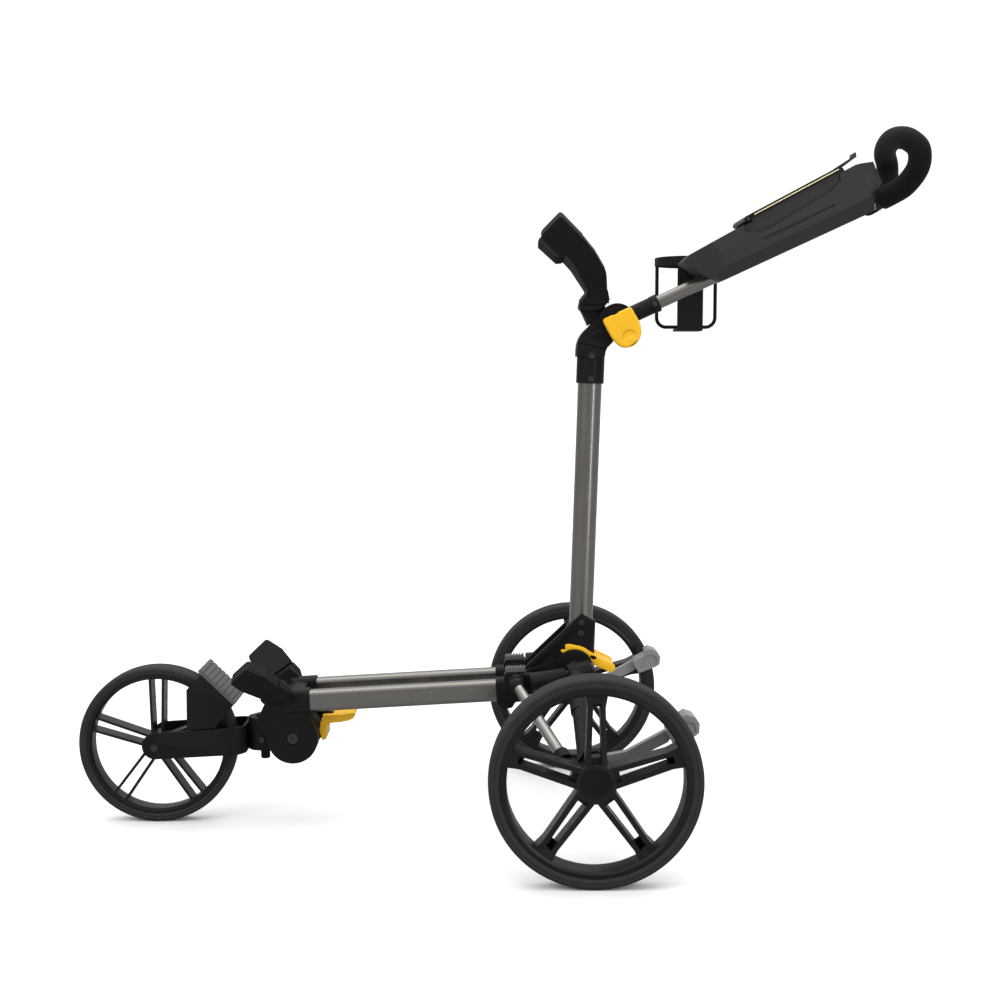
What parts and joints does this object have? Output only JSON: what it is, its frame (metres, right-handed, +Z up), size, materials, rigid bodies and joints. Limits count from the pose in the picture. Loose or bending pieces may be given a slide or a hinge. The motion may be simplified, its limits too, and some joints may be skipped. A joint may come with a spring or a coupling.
{
  "type": "golf push trolley",
  "caption": "Folding three-wheel push trolley for a golf bag, with a console, a foam loop grip, bag cradles, latches, brake pedals and a bottle holder.",
  "frame": {"origin": "on the floor, midway between the rear wheels, directly under the rear axle line", "axes": "+X forward to the front wheel, +Y to the trolley's left, +Z up"},
  "size_m": [1.2694, 0.618, 1.0553],
  "materials": {
    "cradle_rubber": "matt black rubber",
    "black_steel": "blackened steel",
    "tube_metal": "satin gunmetal lacquer on aluminium tube",
    "bare_aluminium": "satin anodised aluminium",
    "black_plastic": "fine-grained black moulded plastic",
    "console_plastic": "fine-grained dark grey moulded plastic",
    "lid_plastic": "smoked lid with low gloss",
    "yellow_plastic": "semi-gloss yellow-orange moulded plastic",
    "pedal_plastic": "mid-grey moulded plastic",
    "pad_rubber": "matt grey rubber",
    "tyre": "matt dark grey solid tyre",
    "foam": "closed-cell foam, matt black",
    "steel": "plated steel"
  },
  "bodies": {
    "frame": {"frame_tube_left": "tube_metal", "frame_tube_right": "tube_metal", "front_housing_left": "black_plastic", "front_housing_right": "black_plastic", "front_bridge": "black_plastic", "lower_cradle_pads": "cradle_rubber", "front_pivot_bolt": "black_steel", "rear_bracket_left": "black_plastic", "rear_bracket_right": "black_plastic", "rear_cross_tube": "bare_aluminium", "main_pivot_pin": "black_steel", "frame_buffers": "pad_rubber", "leg_hinge_pins": "black_steel"},
    "front_latch": {"front_latch": "yellow_plastic"},
    "fork": {"fork_stem": "black_plastic", "fork_strap": "black_plastic", "fork_screws": "black_steel", "bag_base": "black_plastic", "bag_base_pad": "pad_rubber", "front_axle": "black_steel"},
    "tracking_knob": {"tracking_knob": "black_plastic"},
    "front_wheel": {"front_tyre": "tyre", "front_rim": "black_plastic", "front_bearings": "steel"},
    "upright": {"upright_foot": "black_plastic", "upright_tube": "tube_metal", "knee_casting": "black_plastic", "upper_cradle": "black_plastic", "upper_cradle_pads": "cradle_rubber", "upright_screws": "black_steel"},
    "rear_latch": {"rear_latch": "yellow_plastic"},
    "handle": {"handle_knuckle": "black_plastic", "handle_tube": "tube_metal", "handle_screws": "black_steel", "console_shell": "console_plastic", "console_lid_pin": "black_steel", "grip_tube": "bare_aluminium", "grip_foam": "foam", "cam_bolt": "steel", "holder_bracket": "black_plastic"},
    "cam_lever": {"cam_lever": "yellow_plastic"},
    "console_lid": {"console_lid": "lid_plastic"},
    "console_flap": {"console_flap": "console_plastic"},
    "bottle_holder": {"holder_ring": "black_plastic", "holder_frame": "black_plastic", "holder_spine": "black_plastic"},
    "rear_leg_left": {"rear_leg_left": "black_plastic", "strut_left": "bare_aluminium"},
    "rear_leg_right": {"rear_leg_right": "black_plastic", "strut_right": "bare_aluminium"},
    "rear_wheel_left": {"rear_tyre_left": "tyre", "rear_rim_left": "black_plastic", "hub_cap_left": "black_plastic", "rear_bearings_left": "steel"},
    "rear_wheel_right": {"rear_tyre_right": "tyre", "rear_rim_right": "black_plastic", "hub_cap_right": "black_plastic", "rear_bearings_right": "steel"},
    "brake_pedal_left": {"brake_pedal_left": "pedal_plastic"},
    "brake_pedal_right": {"brake_pedal_right": "pedal_plastic"}
  },
  "joints": [
    {"name": "upright_fold", "type": "hinge", "parent": "frame", "child": "upright", "pos_m": [0.014, 0, 0.245], "axis": [0, 1, 0], "range_deg": [0, 84]},
    {"name": "handle_fold", "type": "hinge", "parent": "upright", "child": "handle", "pos_m": [-0.048, 0, 0.768], "axis": [0, 1, 0], "range_deg": [-100, 15]},
    {"name": "fork_fold", "type": "hinge", "parent": "frame", "child": "fork", "pos_m": [0.441, 0, 0.14], "axis": [0, 1, 0], "range_deg": [0, 120]},
    {"name": "front_wheel_spin", "type": "hinge", "parent": "fork", "child": "front_wheel", "pos_m": [0.655, 0, 0.1214], "axis": [0, 1, 0], "continuous": true},
    {"name": "rear_leg_left_fold", "type": "hinge", "parent": "frame", "child": "rear_leg_left", "pos_m": [0.006, 0.06, 0.246], "axis": [-0.9589, -0.2197, 0.1798], "range_deg": [0, 45]},
    {"name": "rear_leg_right_fold", "type": "hinge", "parent": "frame", "child": "rear_leg_right", "pos_m": [0.006, -0.06, 0.246], "axis": [0.9589, -0.2197, -0.1798], "range_deg": [0, 45]},
    {"name": "rear_wheel_left_spin", "type": "hinge", "parent": "rear_leg_left", "child": "rear_wheel_left", "pos_m": [0, 0.29, 0.145], "axis": [0, 1, 0], "continuous": true},
    {"name": "rear_wheel_right_spin", "type": "hinge", "parent": "rear_leg_right", "child": "rear_wheel_right", "pos_m": [0, -0.29, 0.145], "axis": [0, 1, 0], "continuous": true},
    {"name": "rear_latch_turn", "type": "hinge", "parent": "upright", "child": "rear_latch", "pos_m": [-0.007, 0, 0.266], "axis": [0, -1, 0], "range_deg": [0, 15]},
    {"name": "front_latch_turn", "type": "hinge", "parent": "frame", "child": "front_latch", "pos_m": [0.394, 0, 0.162], "axis": [0, 1, 0], "range_deg": [0, 20]},
    {"name": "cam_lever_turn", "type": "hinge", "parent": "handle", "child": "cam_lever", "pos_m": [-0.04633, 0.04, 0.77163], "axis": [0.9085, 0, -0.4179], "range_deg": [0, 90]},
    {"name": "console_lid_turn", "type": "hinge", "parent": "handle", "child": "console_lid", "pos_m": [-0.23583, 0, 0.91603], "axis": [0, 1, 0], "range_deg": [0, 80]},
    {"name": "console_flap_turn", "type": "hinge", "parent": "handle", "child": "console_flap", "pos_m": [-0.37879, 0, 0.99169], "axis": [0, 1, 0], "range_deg": [0, 45]},
    {"name": "bottle_holder_tilt", "type": "hinge", "parent": "handle", "child": "bottle_holder", "pos_m": [-0.17221, 0, 0.84494], "axis": [0, 1, 0], "range_deg": [-30, 30]},
    {"name": "tracking_knob_turn", "type": "hinge", "parent": "fork", "child": "tracking_knob", "pos_m": [0.491, 0, 0.103], "axis": [0, 0, 1], "continuous": true},
    {"name": "brake_pedal_left_press", "type": "hinge", "parent": "rear_leg_left", "child": "brake_pedal_left", "pos_m": [-0.014, 0, 0.158], "axis": [0, -1, 0], "range_deg": [0, 12]},
    {"name": "brake_pedal_right_press", "type": "hinge", "parent": "rear_leg_right", "child": "brake_pedal_right", "pos_m": [-0.014, 0, 0.158], "axis": [0, -1, 0], "range_deg": [0, 12]}
  ]
}
